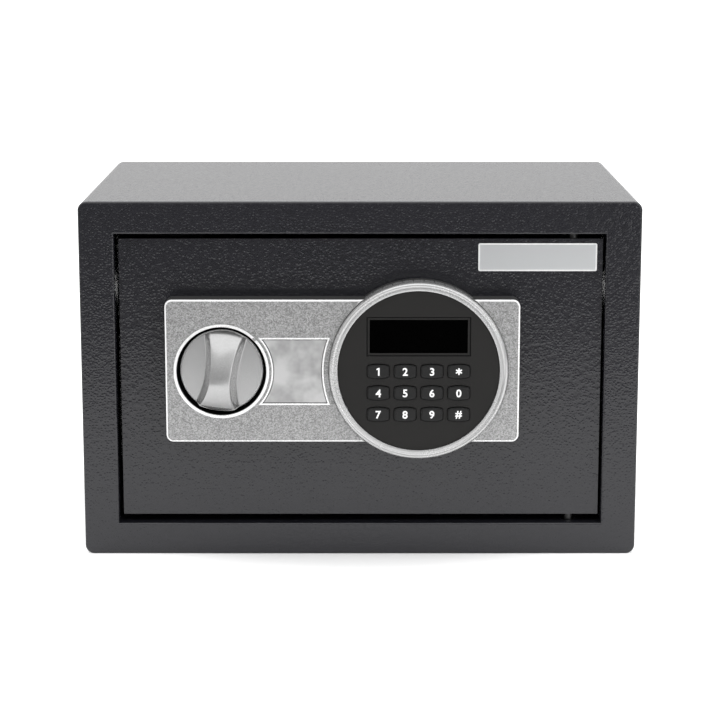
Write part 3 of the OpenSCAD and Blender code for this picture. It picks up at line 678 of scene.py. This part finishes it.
@dataclass
class Door:
    """The door: its plate, the welded casing behind it, the back cover, hinge pins and blank label."""

    edge: float = 0.5 * MM
    label_edge: float = 0.1 * MM
    label_rim: float = 0.7 * MM

    def build(self) -> None:
        """Dresses the door's steelwork."""
        body = Body.DOOR.value
        Workshop.soften("door_plate", DOOR_PAINT, body, "door_paint", (Rounding(self.edge, 3),))
        Workshop.soften("door_casing", DOOR_PAINT, body, "door_paint", (SOFT,))
        Workshop.soften("door_back_cover", DOOR_PAINT, body, "door_paint", (SOFT,))
        Workshop.soften("cover_screws", ZINC, body, "zinc_steel")
        for node in ("hinge_pin_lower", "hinge_pin_upper"):
            Workshop.soften(node, DARK_HINGE_STEEL, body, "bright_steel")
        self._label()

    def _label(self) -> None:
        """Builds the blank foil label with its polished rim."""
        shape = Workshop.copy_of("door_label")
        Workshop.round_edges(shape, Rounding(self.label_edge))
        front = max(shape.faces, key=lambda face: face.calc_area() * (face.normal.y < -SQUARE_ON))
        bmesh.ops.inset_region(shape, faces=[front], thickness=self.label_rim, depth=0.0)
        for face in shape.faces:
            face.material_index = 0 if face is front else 1
        label = Workshop.mount(Workshop.piece("blank_label", shape), LABEL_FOIL, Body.DOOR.value,
                               "label_foil", ["door_label"])
        label.data.materials.append(LABEL_RIM.material())


@dataclass
class ControlPanel:
    """The silver housing on the door, with its screws and the key-lock cover.

    Attributes:
        face_edge: Rounding of the front outline.
        step_edge: Rounding of every other edge.
        half_height: Half the height of the flat plate, without its round part.
        outline_margin: How far in from the outline an edge still counts as on it.
        outline_depth: How far behind the front it still does.
        bead: How far the raised beads stand in front of the plate.
        well_radius: Radius of the knob's well.
        well_margin: How far outside that radius the well's walls are looked for.
        shade_depth: Depth in the well from which it is painted near-black as painted shade.
        lip: Width of the lip round the well that takes the painted highlight.
        lip_base: Where the lacquer round that lip ends.
    """

    face_edge: float = 0.9 * MM
    step_edge: float = 0.25 * MM
    half_height: float = 40 * MM
    outline_margin: float = 4.5 * MM
    outline_depth: float = 1.1 * MM
    bead: float = 0.5 * MM
    well_radius: float = 24.8 * MM
    well_margin: float = 0.3 * MM
    shade_depth: float = 0.7 * MM
    lip: float = 0.55 * MM
    lip_base: float = 2.1 * MM

    def build(self) -> None:
        """Dresses the housing and the cover."""
        self._housing()
        Workshop.soften("panel_screws", ZINC, Body.DOOR.value, "zinc_steel")
        Workshop.soften("lock_cover", COVER_SILVER, Body.LOCK_COVER.value, "silver_plastic",
                        (Rounding(self.step_edge, 3),))

    def _housing(self) -> None:
        """Rounds the housing's front outline, paints shade deep in the knob's well and on the sides, and
        paints highlights on the beads and the rounded outline.
        """
        low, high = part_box("panel_housing")
        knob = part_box("knob")
        level = (knob[0].z + knob[1].z) / 2
        knob_middle = Vector(((knob[0].x + knob[1].x) / 2, 0.0, level))
        half = self.half_height - self.outline_margin
        plane = low.y + self.bead

        def outline(middle: Vector) -> bool:
            """Tells whether an edge lies on the front outline."""
            beside = middle.x < low.x + self.outline_margin or middle.x > high.x - self.outline_margin
            return middle.y < plane + self.outline_depth and (beside or abs(middle.z - level) > half)

        shape = Workshop.copy_of("panel_housing")
        Workshop.round_edges(shape, Rounding(self.face_edge, 4, outline, clamped=False))
        Workshop.round_edges(shape, Rounding(self.step_edge))
        for part in shape.faces:
            middle = part.calc_center_median()
            reach = math.hypot(middle.x - knob_middle.x, middle.z - knob_middle.z)
            turned = -part.normal.y
            # Faces deep in the knob's well take near-black as painted shade.
            if reach < self.well_radius + self.well_margin and middle.y > plane + self.shade_depth:
                part.material_index = 1
            elif self.well_radius + self.lip < reach < self.well_radius + self.lip_base:
                part.material_index = 0
            # Raised beads and the rounded front outline take near-white as painted highlight.
            elif middle.y < plane - TINY or (outline(middle) and SIDEWAYS < turned < FLAT_ON):
                part.material_index = 2
            # Faces turned away from the front take dark grey as painted shade.
            elif turned < SIDEWAYS:
                part.material_index = 3
        housing = Workshop.mount(Workshop.piece("panel_moulding", shape), PANEL_SILVER, Body.DOOR.value,
                                 "silver_plastic", ["panel_housing"])
        for finish in (PAINTED_WELL_SHADE, PAINTED_HIGHLIGHT, PAINTED_SIDE_SHADE):
            housing.data.materials.append(finish.material())


@dataclass
class KeypadRing:
    """The round trim: a flat band with a rounded bead along its outside."""

    band_inner: float = 44.75 * MM
    bead_inner: float = 46.7 * MM
    inner_drop: float = 0.8 * MM
    outer_drop: float = 2.6 * MM
    chamfer: float = 0.2 * MM
    groove: float = 0.1 * MM
    skirt: float = 1.5 * MM
    skirt_inset: float = 3.4 * MM
    turns: int = 160
    bead_points: int = 12

    def build(self) -> None:
        """Spins the ring's profile round the keypad's middle."""
        low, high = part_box("keypad_ring")
        centre = Vector(((low.x + high.x) / 2, 0.0, (low.z + high.z) / 2))
        outer = (high.x - low.x) / 2
        crest = low.y
        band = crest + self.inner_drop
        reach = outer - self.bead_inner
        points = [(self.band_inner, high.y), (self.band_inner, band + self.chamfer),
                  (self.band_inner + self.chamfer, band), (self.bead_inner - self.groove, band)]
        for step in range(self.bead_points + 1):
            turn = math.pi * step / self.bead_points
            fall = self.inner_drop if turn < math.pi / 2 else self.outer_drop
            drop = (1 - math.sin(turn)) * fall
            points.append((self.bead_inner + reach * (1 - math.cos(turn)) / 2, crest + drop))
        points.append((outer, high.y - self.skirt))
        points.append((outer - self.skirt_inset, high.y - self.skirt))
        points.append((outer - self.skirt_inset, high.y))
        shape = bmesh.new()
        corners = [shape.verts.new(centre + Vector((radius, depth, 0.0))) for radius, depth in points]
        edges = [shape.edges.new((corners[i], corners[(i + 1) % len(corners)])) for i in range(len(corners))]
        bmesh.ops.spin(shape, geom=corners + edges, cent=centre, axis=(0, 1, 0), angle=math.tau,
                       steps=self.turns, use_merge=True)
        bmesh.ops.remove_doubles(shape, verts=shape.verts, dist=MERGE)
        bmesh.ops.recalc_face_normals(shape, faces=shape.faces)
        ring = Workshop.piece("keypad_ring_trim", shape, 50.0)
        Workshop.mount(ring, RING_SILVER, Body.DOOR.value, "silver_plastic", ["keypad_ring"])


class Legend(Enum):
    """What is printed on each key, by the key's CAD node."""

    key_1 = "1"
    key_2 = "2"
    key_3 = "3"
    key_star = "*"
    key_4 = "4"
    key_5 = "5"
    key_6 = "6"
    key_0 = "0"
    key_7 = "7"
    key_8 = "8"
    key_9 = "9"
    key_hash = "#"


@dataclass
class Keypad:
    """The black keypad face, its display, its twelve keys and the boards behind them."""

    legend_height: float = 4.4 * MM
    legend_depth: float = 0.06 * MM
    key_edge: float = 0.7 * MM
    bezel: float = 0.65 * MM
    fine_edge: float = 0.15 * MM
    window_margin: float = 2 * MM
    bar: float = 0.85 * MM

    def build(self) -> None:
        """Dresses the face and the keys, and prints the legends."""
        body = Body.DOOR.value
        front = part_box("keypad_face")[0].y
        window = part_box("display_window")
        near = self.window_margin
        bezel = Rounding(self.bezel, 1, lambda middle: middle.y < front + ON_FACE
                         and window[0].x - near < middle.x < window[1].x + near
                         and window[0].z - near < middle.z < window[1].z + near)
        face = Workshop.soften("keypad_face", KEYPAD_BLACK, body, "keypad_black",
                               (bezel, Rounding(self.fine_edge)))
        # The key wells' walls take near-black as painted shade.
        face.data.materials.append(PAINTED_WELL_SHADE.material())
        for part in face.data.polygons:
            steep = abs(part.normal.y) < SQUARE_ON
            part.material_index = 1 if part.center.y > front + TINY and steep else 0
        Workshop.soften("display_window", DISPLAY_BLACK, body, "display_black",
                        (Rounding(self.fine_edge),))
        for legend in Legend:
            self._key(legend)
        Workshop.soften("display_module", BLACK_PLASTIC, body, "black_plastic")
        Workshop.soften("keypad_mat", RUBBER, body, "keypad_rubber", (Rounding(self.fine_edge),))
        Workshop.soften("control_board", BOARD_GREEN, body, "circuit_board", (Rounding(0.1 * MM),))
        Workshop.soften("buzzer", BLACK_PLASTIC, body, "black_plastic")

    def _key(self, legend: Legend) -> None:
        """Dresses one key and prints its legend.

        Args:
            legend: The key and what is printed on it.
        """
        low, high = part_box(legend.name)
        edge = Rounding(self.key_edge, 4, lambda middle: middle.y < low.y + ON_FACE)
        Workshop.soften(legend.name, KEY_BLACK, legend.name, "key_plastic", (edge,))
        shape = bmesh.new()
        if legend in self._barred:
            self._draw_bars(shape, self._barred[legend])
        else:
            self._draw_glyph(shape, legend.value)
        place = Vector(((low.x + high.x) / 2, low.y, (low.z + high.z) / 2))
        turn = Matrix.Rotation(math.radians(90), 4, "X")
        bmesh.ops.transform(shape, verts=shape.verts, matrix=Matrix.Translation(place) @ turn)
        grown = bmesh.ops.extrude_face_region(shape, geom=shape.faces)
        raised = [item for item in grown["geom"] if isinstance(item, bmesh.types.BMVert)]
        bmesh.ops.translate(shape, verts=raised, vec=(0.0, -self.legend_depth, 0.0))
        bmesh.ops.recalc_face_normals(shape, faces=shape.faces)
        printed = Workshop.piece(legend.name + "_legend", shape, 20.0)
        Workshop.mount(printed, LEGEND_WHITE, legend.name, "key_plastic")

    @property
    def _barred(self) -> dict[Legend, list[tuple[float, float, float, float, float]]]:
        """Legends drawn as bars: each bar's middle, length and width in legend heights, and its turn."""
        wide = self.bar / self.legend_height
        return {
            Legend.key_1: [(0.06, 0.0, 1.0, wide, 90.0), (-0.1, 0.36, 0.3, wide * 0.8, 32.0)],
            Legend.key_star: [(0.0, 0.04, 0.86, wide * 0.86, turn) for turn in (90.0, 30.0, 150.0)],
        }

    def _draw_bars(self, shape: bmesh.types.BMesh,
                   bars: list[tuple[float, float, float, float, float]]) -> None:
        """Draws a legend from straight bars that are cut to one outline.

        Args:
            shape: The bmesh to draw in.
            bars: The bars, as _barred gives them.
        """
        for index, (across, up, length, width, turn) in enumerate(bars):
            size = self.legend_height
            place = Matrix.Translation((across * size, up * size, -index * 0.004 * MM))
            place = place @ Matrix.Rotation(math.radians(turn), 4, "Z")
            place = place @ Matrix.Diagonal((length * size / 2, width * size / 2, 1.0, 1.0))
            bmesh.ops.create_grid(shape, x_segments=1, y_segments=1, size=1.0, matrix=place)

    def _draw_glyph(self, shape: bmesh.types.BMesh, letter: str) -> None:
        """Draws a legend from the built-in font, bold and centred.

        Args:
            shape: The bmesh to draw in.
            letter: The legend.
        """
        writing = bpy.data.curves.new("legend_outline", "FONT")
        writing.body = letter
        writing.offset = 0.022
        writing.resolution_u = 6
        holder = bpy.data.objects.new("legend_outline", writing)
        shape.from_mesh(bpy.data.meshes.new_from_object(holder))
        bpy.data.objects.remove(holder)
        bmesh.ops.remove_doubles(shape, verts=shape.verts, dist=1e-4)
        left = min(vert.co.x for vert in shape.verts)
        right = max(vert.co.x for vert in shape.verts)
        bottom = min(vert.co.y for vert in shape.verts)
        top = max(vert.co.y for vert in shape.verts)
        middle = Vector(((left + right) / 2, (bottom + top) / 2, 0.0))
        size = self.legend_height / (top - bottom)
        fit = Matrix.Scale(size, 4) @ Matrix.Translation(-middle)
        bmesh.ops.transform(shape, verts=shape.verts, matrix=fit)


@dataclass
class Knob:
    """The turning knob: a dished disc crossed by a waisted grip, its spindle and its crank.

    Attributes:
        lean: Turn of the grip from upright at rest.
        face_depth: How far the disc lies behind the grip's crest.
        apex: Height of the crest's highest point above the knob's middle.
        waist_height: Height of the grip's narrowest point above the middle.
        waist: Half the grip's width there.
        flare_up: How fast the grip widens above its waist, per metre.
        flare_down: How fast it widens below.
        dish: Fall of the crest from its middle line to its sides.
        wall: Width of the grip's flanks.
        wall_straight: Share of the flanks' fall that is straight.
        rim: Rounding of the disc's edge.
        bright_edge: Width of the painted highlight line on that edge.
        cells: Fineness of the grid.
    """

    lean: float = math.radians(7)
    face_depth: float = 12.0 * MM
    apex: float = -6.0 * MM
    waist_height: float = -3.8 * MM
    waist: float = 5.5 * MM
    flare_up: float = 5.6
    flare_down: float = 13.5
    dish: float = 0.8 * MM
    wall: float = 3.4 * MM
    wall_straight: float = 0.45
    rim: float = 0.9 * MM
    bright_edge: float = 0.6 * MM
    cells: int = 150

    def build(self) -> None:
        """Shapes the knob and dresses its shaft."""
        low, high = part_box("knob")
        centre = Vector(((low.x + high.x) / 2, low.y, (low.z + high.z) / 2))
        radius = (high.x - low.x) / 2
        shape = bmesh.new()
        bmesh.ops.create_grid(shape, x_segments=self.cells, y_segments=self.cells, size=1.0)
        for vert in shape.verts:
            across, up = vert.co.x, vert.co.y
            flat_x = across * math.sqrt(1 - up * up / 2) * radius
            flat_z = up * math.sqrt(1 - across * across / 2) * radius
            vert.co = centre + Vector((flat_x, self._depth(flat_x, flat_z, radius), flat_z))
        border = [edge for edge in shape.edges if edge.is_boundary]
        grown = bmesh.ops.extrude_edge_only(shape, edges=border)
        for vert in (item for item in grown["geom"] if isinstance(item, bmesh.types.BMVert)):
            vert.co.y = high.y
        hem = [edge for edge in shape.edges if edge.is_boundary]
        bmesh.ops.contextual_create(shape, geom=hem)
        bmesh.ops.recalc_face_normals(shape, faces=shape.faces)
        # Faces on the disc's rounded rim take near-white as painted highlight.
        for face in shape.faces:
            middle = face.calc_center_median() - centre
            outside = math.hypot(middle.x, middle.z) > radius - self.bright_edge
            face.material_index = 1 if outside and middle.y < self.face_depth + self.rim else 0
        knob = Workshop.piece("knob_moulding", shape, 50.0)
        Workshop.mount(knob, KNOB_SILVER, Body.KNOB.value, "silver_plastic", ["knob"])
        knob.data.materials.append(PAINTED_HIGHLIGHT.material())
        Workshop.soften("knob_spindle", ZINC, Body.KNOB.value, "zinc_steel")
        Workshop.soften("drive_crank", ZINC, Body.KNOB.value, "zinc_steel")

    def _depth(self, across: float, up: float, radius: float) -> float:
        """Works out how far behind the grip's crest a point of the knob's face lies.

        Args:
            across: Distance right of the knob's middle.
            up: Distance above it.
            radius: Radius of the disc.

        Returns:
            The distance behind the crest.
        """
        along = across * math.sin(self.lean) + up * math.cos(self.lean)
        aside = abs(across * math.cos(self.lean) - up * math.sin(self.lean))
        past = along - self.waist_height
        flare = self.flare_up if past > 0 else self.flare_down
        half = self.waist + flare * past * past
        reach = radius - self.apex if along > self.apex else radius + self.apex
        arch = (reach ** 2 + self.face_depth ** 2) / (2 * self.face_depth)
        ridge = arch - math.sqrt(max(0.0, arch ** 2 - (along - self.apex) ** 2))
        ridge += self.dish * min(1.0, aside / half) ** 2
        out = math.hypot(across, up)
        share = min(1.0, max(0.0, (aside - half) / self.wall))
        rounded = share * share * (3 - 2 * share)
        fall = self.wall_straight * share + (1 - self.wall_straight) * rounded
        lip = max(0.0, out - (radius - self.rim))
        disc = self.face_depth + self.rim - math.sqrt(max(0.0, self.rim ** 2 - lip * lip))
        return min(disc, ridge + (disc - ridge) * fall)


@dataclass
class BoltWork:
    """The sliding bolt plate, its two bolts and what guides them."""

    parts: dict[str, tuple[Finish, str, str]] = field(default_factory=lambda: {
        "bolt_plate": (ZINC, Body.BOLTS.value, "zinc_steel"),
        "locking_bolt_upper": (BRIGHT, Body.BOLTS.value, "bright_steel"),
        "locking_bolt_lower": (BRIGHT, Body.BOLTS.value, "bright_steel"),
        "guide_studs": (BRIGHT, Body.DOOR.value, "bright_steel"),
        "guide_washers": (ZINC, Body.DOOR.value, "zinc_steel"),
        "spindle_bush": (BLACK_PLASTIC, Body.DOOR.value, "black_plastic"),
    })

    def build(self) -> None:
        """Dresses the bolt work."""
        for node, (finish, body, slot) in self.parts.items():
            Workshop.soften(node, finish, body, slot)


@dataclass
class Release:
    """The solenoid that frees the bolts and the key lock that overrides it."""

    parts: dict[str, tuple[Finish, str, str]] = field(default_factory=lambda: {
        "solenoid_frame": (ZINC, Body.DOOR.value, "zinc_steel"),
        "solenoid_coil": (COIL_TAPE, Body.DOOR.value, "coil_tape"),
        "solenoid_plunger": (BRIGHT, Body.PLUNGER.value, "bright_steel"),
        "release_link": (ZINC, Body.PLUNGER.value, "zinc_steel"),
        "override_lock_body": (BRIGHT, Body.DOOR.value, "bright_steel"),
        "override_lock_nut": (ZINC, Body.DOOR.value, "zinc_steel"),
        "override_plug": (BRASS, Body.LOCK_PLUG.value, "brass"),
        "override_cam": (ZINC, Body.LOCK_PLUG.value, "zinc_steel"),
    })

    def build(self) -> None:
        """Dresses the release parts."""
        for node, (finish, body, slot) in self.parts.items():
            Workshop.soften(node, finish, body, slot)
        Workshop.keep("solenoid_spring", BRIGHT)


@dataclass
class Power:
    """The battery tray with its cells, contacts and lid, the reset switch and the wiring."""

    def build(self) -> None:
        """Dresses the electrical parts at the door's rear."""
        body = Body.DOOR.value
        Workshop.soften("battery_tray", BLACK_PLASTIC, body, "black_plastic")
        Workshop.soften("battery_lid", BLACK_PLASTIC, Body.BATTERY_LID.value, "black_plastic")
        Workshop.soften("batteries", CELL_WRAP, body, "battery_wrap", (Rounding(0.5 * MM, 3),))
        Workshop.keep("battery_contacts", BRIGHT)
        Workshop.soften("reset_switch", BLACK_PLASTIC, body, "black_plastic")
        Workshop.soften("reset_button", BUTTON_RED, Body.RESET.value, "red_plastic", (Rounding(0.4 * MM, 3),))
        Workshop.keep("wire_harness", SLEEVE)


# --- Studio ---


@dataclass(frozen=True)
class Softbox:
    """A square area light that points at a target.

    Attributes:
        name: Its name.
        place: Where it stands.
        target: Where it points.
        size: Length of its side.
        power: Its power in watts.
    """

    name: str
    place: tuple[float, float, float]
    target: tuple[float, float, float]
    size: float
    power: float

    def build(self) -> None:
        """Makes the light."""
        light = bpy.data.lights.new(self.name, "AREA")
        light.shape = "SQUARE"
        light.size = self.size
        light.energy = self.power
        holder = bpy.data.objects.new(self.name, light)
        holder.location = self.place
        aim = Vector(self.target) - Vector(self.place)
        holder.rotation_euler = aim.to_track_quat("-Z", "Y").to_euler()
        holder.visible_camera = False
        bpy.context.scene.collection.objects.link(holder)


@dataclass
class Studio:
    """The camera, a pale floor, a pale surround and soft lights."""

    camera_place: tuple[float, float, float] = (0.0, -1.322, 0.356)
    camera_pitch: float = 11.31
    lens: float = 112.2
    floor_front: float = 0.62
    floor_reach: float = 9.0
    paper: float = 0.93
    paper_rough: float = 0.9
    glow: float = 0.3
    glow_reach: tuple[float, float] = (0.11, 0.17)
    sky: tuple[float, float] = (0.22, 0.95)
    sky_rise: tuple[float, float] = (-0.15, 0.5)
    rear_sky: float = 0.5
    rear_rise: tuple[float, float] = (-0.3, 0.6)
    boxes: tuple[Softbox, ...] = (
        Softbox("overhead_box", (0.1, -0.3, 1.35), (0.0, -0.08, 0.1), 2.2, 17.0),
        Softbox("right_box", (0.9, -0.9, 0.6), (0.1, -0.1, 0.12), 0.8, 2.6),
        Softbox("left_box", (-1.3, -0.7, 0.9), (-0.05, -0.1, 0.1), 1.2, 1.5),
        Softbox("low_right_box", (0.52, -0.88, 0.16), (0.1, -0.1, 0.1), 0.14, 0.6),
    )

    def build(self) -> None:
        """Sets up everything that isn't the object."""
        self._camera()
        self._floor()
        self._surround()
        for box in self.boxes:
            box.build()

    def _camera(self) -> None:
        """Makes the scene's camera."""
        lens = bpy.data.cameras.new("front_camera")
        lens.sensor_width = 36.0
        lens.lens = self.lens
        camera = bpy.data.objects.new("front_camera", lens)
        camera.location = self.camera_place
        camera.rotation_euler = (math.radians(90 - self.camera_pitch), 0.0, 0.0)
        bpy.context.scene.collection.objects.link(camera)
        bpy.context.scene.camera = camera

    def _floor(self) -> None:
        """Makes the plain white floor."""
        shape = bmesh.new()
        bmesh.ops.create_grid(shape, x_segments=1, y_segments=1, size=self.floor_reach)
        bmesh.ops.translate(shape, verts=shape.verts, vec=(0.0, self.floor_reach - self.floor_front, 0.0))
        floor = Workshop.piece("studio_floor", shape)
        paper = bpy.data.materials.new("studio_paper")
        paper.use_nodes = True
        shader = paper.node_tree.nodes["Principled BSDF"]
        shader.inputs["Base Color"].default_value = (self.paper,) * 3 + (1,)
        shader.inputs["Roughness"].default_value = self.paper_rough
        shader.inputs["Emission Color"].default_value = (1, 1, 1, 1)
        bench = Bench(paper.node_tree)
        apart = bench.add("ShaderNodeVectorMath", operation="LENGTH")
        bench.join(bench.add("ShaderNodeTexCoord").outputs["Object"], apart.inputs[0])
        bench.join(bench.ramp(apart.outputs["Value"], *self.glow_reach, 0.0, self.glow),
                   shader.inputs["Emission Strength"])
        floor.data.materials.append(paper)

    def _surround(self) -> None:
        """Makes the surround: white behind the object, dimmer and darkest below in front of it."""
        scene = bpy.context.scene
        scene.view_settings.view_transform = "Standard"
        world = bpy.data.worlds.new("studio_surround")
        scene.world = world
        world.use_nodes = True
        world.node_tree.nodes.clear()
        bench = Bench(world.node_tree)
        place = bench.add("ShaderNodeTexCoord")
        split = bench.add("ShaderNodeSeparateXYZ")
        bench.join(place.outputs["Generated"], split.inputs["Vector"])
        above = bench.ramp(split.outputs["Z"], *self.sky_rise, *self.sky)
        level = bench.maths("ADD", above, bench.ramp(split.outputs["Y"], *self.rear_rise, 0.0, self.rear_sky))
        light = bench.add("ShaderNodeBackground", {"Color": (1, 1, 1, 1)})
        bench.join(level, light.inputs["Strength"])
        backdrop = bench.add("ShaderNodeBackground", {"Color": (1, 1, 1, 1), "Strength": 1.0})
        choice = bench.add("ShaderNodeMixShader")
        bench.join(bench.add("ShaderNodeLightPath").outputs["Is Camera Ray"], choice.inputs["Fac"])
        bench.join(light.outputs["Background"], choice.inputs[1])
        bench.join(backdrop.outputs["Background"], choice.inputs[2])
        bench.join(choice.outputs["Shader"], bench.add("ShaderNodeOutputWorld").inputs["Surface"])


def corners(box: tuple[Vector, Vector]) -> list[list[float]]:
    """Writes a box as plain lists of numbers.

    Args:
        box: Its lowest and highest corner.

    Returns:
        The same corners as lists.
    """
    return [list(map(float, corner)) for corner in box]


def main() -> None:
    """Builds the safe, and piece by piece."""
    logging.basicConfig(level=logging.INFO, format="%(name)s: %(message)s")
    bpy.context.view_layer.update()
    Studio().build()
    for assembly in (Cabinet(), Door(), ControlPanel(), KeypadRing(), Keypad(), Knob(), BoltWork(), Release(),
                     Power()):
        LOG.info("building %s", type(assembly).__name__)
        assembly.build()
    LOG.info("%d pieces", Workshop.count)


if __name__ == "__main__":
    main()
